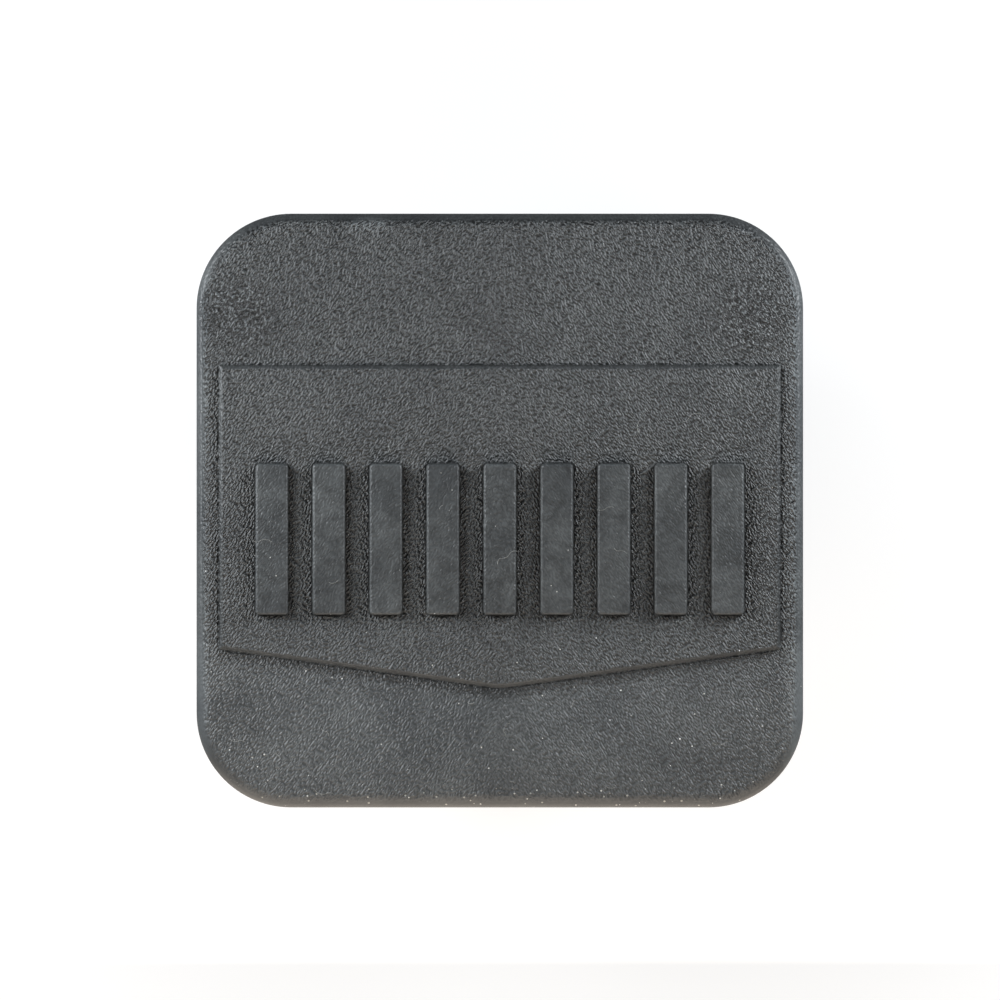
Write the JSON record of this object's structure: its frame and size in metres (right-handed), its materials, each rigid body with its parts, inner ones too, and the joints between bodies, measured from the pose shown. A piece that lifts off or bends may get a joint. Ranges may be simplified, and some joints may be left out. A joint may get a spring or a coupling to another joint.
{
  "type": "hitch receiver cover",
  "caption": "Moulded rubber cover for a square hitch receiver tube: rolled square flange with a raised panel and grip bars, and a hollow plug with sealing lips behind it.",
  "frame": {"origin": "on the plug's axis, in the plane of the flange's back face, which seats on the receiver's mouth", "axes": "+Z out of the face, away from the receiver; +Y towards the face's upper edge; +X to the right of someone who looks at the face"},
  "size_m": [0.0762, 0.0746, 0.0393],
  "materials": {
    "rubber": "satin, fine moulded grain, smooth bar tops"
  },
  "bodies": {
    "root": {"receiver_cover": "rubber"}
  },
  "joints": []
}
